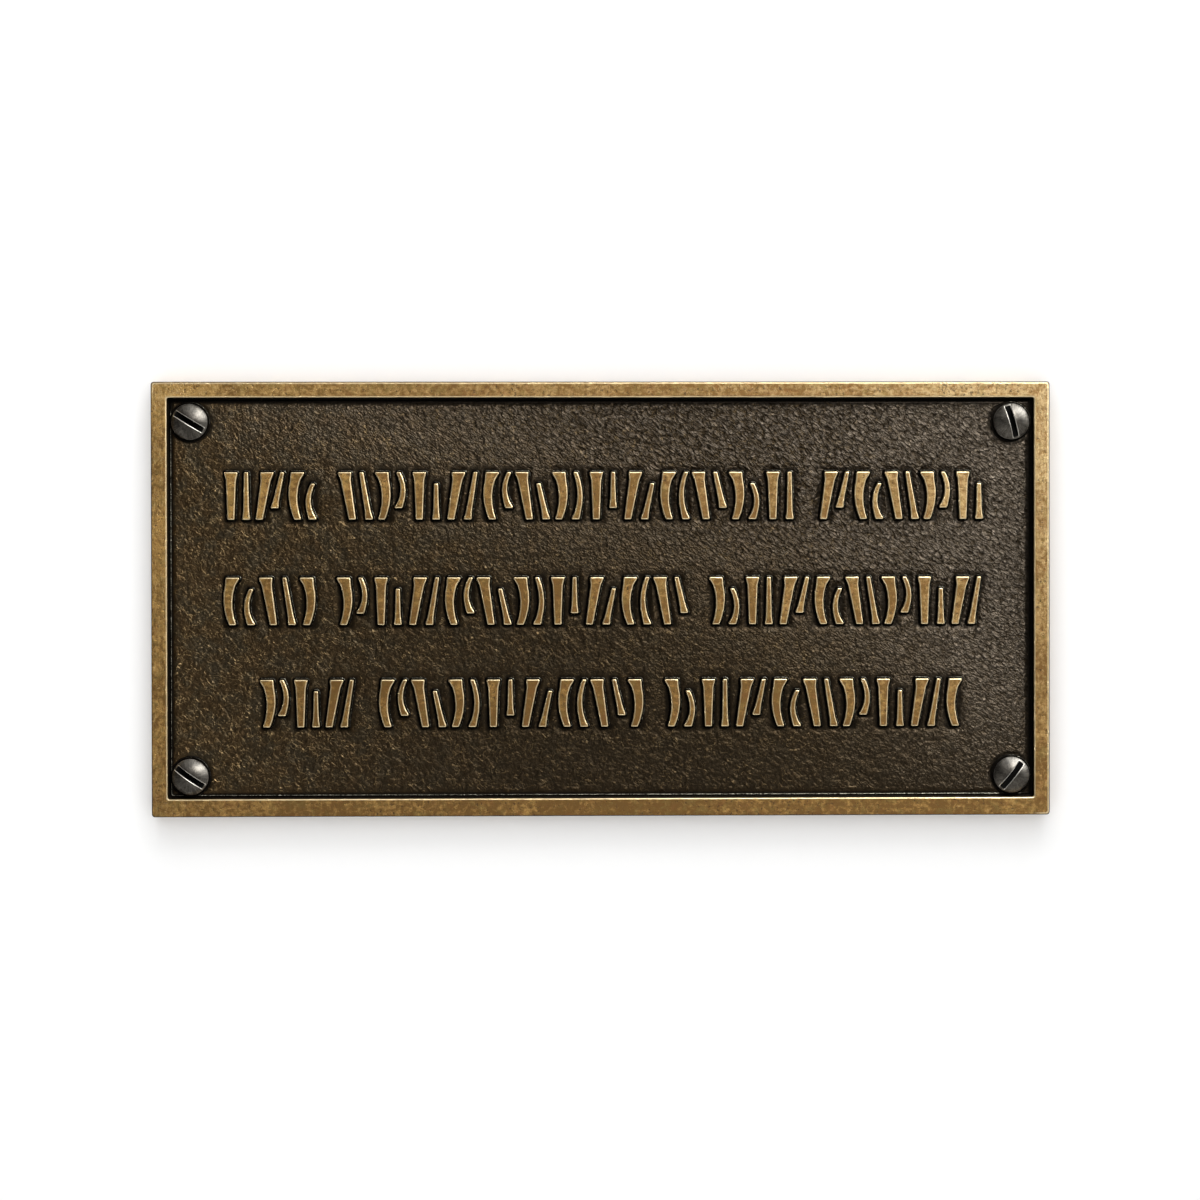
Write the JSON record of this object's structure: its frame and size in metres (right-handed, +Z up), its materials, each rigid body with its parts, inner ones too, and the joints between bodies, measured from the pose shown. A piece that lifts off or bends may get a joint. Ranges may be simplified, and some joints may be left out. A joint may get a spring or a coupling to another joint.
{
  "type": "commemorative plaque",
  "caption": "Flat oblong cast bronze wall plaque with a raised rim, a textured sunk ground, rows of raised non-letter strokes and slotted corner screws",
  "frame": {"origin": "centre of the plate's flat back, where it lies against the wall", "axes": "+X along the width, to the right of someone who faces the plaque; +Y out of the flat back into the wall; +Z up the height"},
  "size_m": [0.3, 0.0096, 0.145],
  "materials": {
    "bronze": "aged cast bronze, dark brown in the sunk ground and rubbed golden on the rim and the raised strokes",
    "screw_steel": "blackened steel, satin, worn brighter on the edges of the slot"
  },
  "bodies": {
    "root": {"plaque": "bronze", "screw_top_left": "screw_steel", "screw_top_right": "screw_steel", "screw_bottom_left": "screw_steel", "screw_bottom_right": "screw_steel"}
  },
  "joints": []
}
